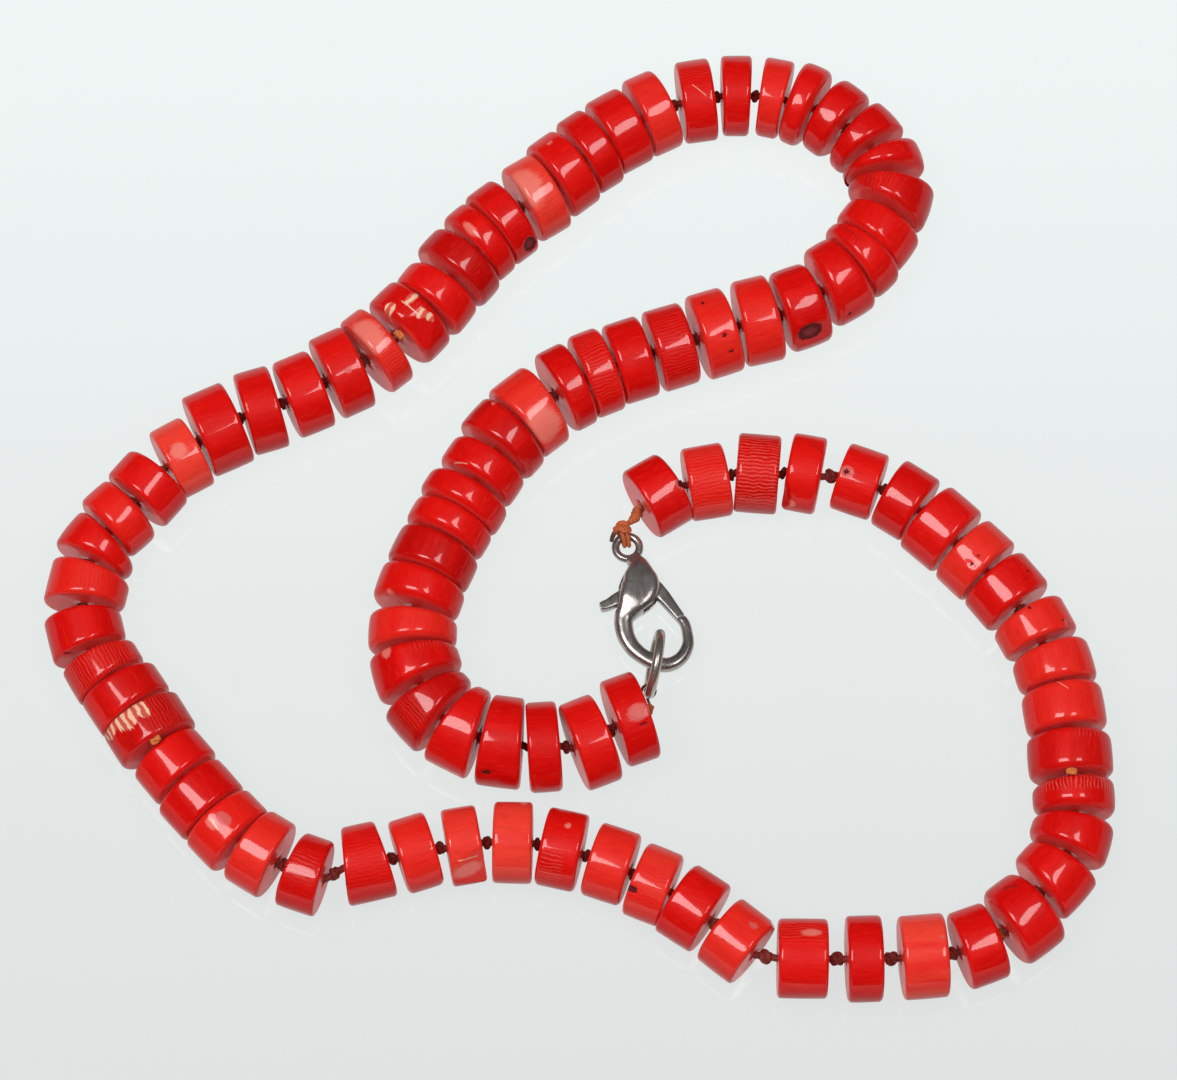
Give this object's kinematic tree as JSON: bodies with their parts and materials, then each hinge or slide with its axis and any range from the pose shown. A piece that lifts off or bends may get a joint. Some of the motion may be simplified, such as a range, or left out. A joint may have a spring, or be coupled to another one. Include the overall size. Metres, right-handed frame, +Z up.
{
  "type": "coral bead necklace",
  "caption": "Necklace of drilled red coral rondelle beads on a knotted thread, closed by a lobster-claw clasp hooked into a jump ring, lying in an irregular loop.",
  "frame": {"origin": "on the resting surface, under the middle of the loop's bounding box", "axes": "+X along the loop's longest side, +Y away from the viewer, +Z up from the surface"},
  "size_m": [0.1188, 0.1128, 0.0102],
  "materials": {
    "coral": "polished",
    "thread": "twisted and waxed",
    "waxed_cord": "twisted and waxed",
    "dark_nickel": "polished, tarnished"
  },
  "bodies": {
    "necklace": {"coral_beads_upper": "coral", "coral_beads_lower": "coral", "thread": "thread", "clasp_cord": "waxed_cord", "ring_cord": "waxed_cord", "clasp_body": "dark_nickel", "clasp_pin": "dark_nickel", "jump_ring": "dark_nickel"},
    "lever": {"clasp_lever": "dark_nickel"}
  },
  "joints": [
    {"name": "lever_hinge", "type": "hinge", "parent": "necklace", "child": "lever", "pos_m": [0.008, -0.00759, 0.00235], "axis": [0, 0, -1], "range_deg": [0, 25], "stiffness_Nm_per_rad": 0.003, "springref_deg": -20.05}
  ]
}
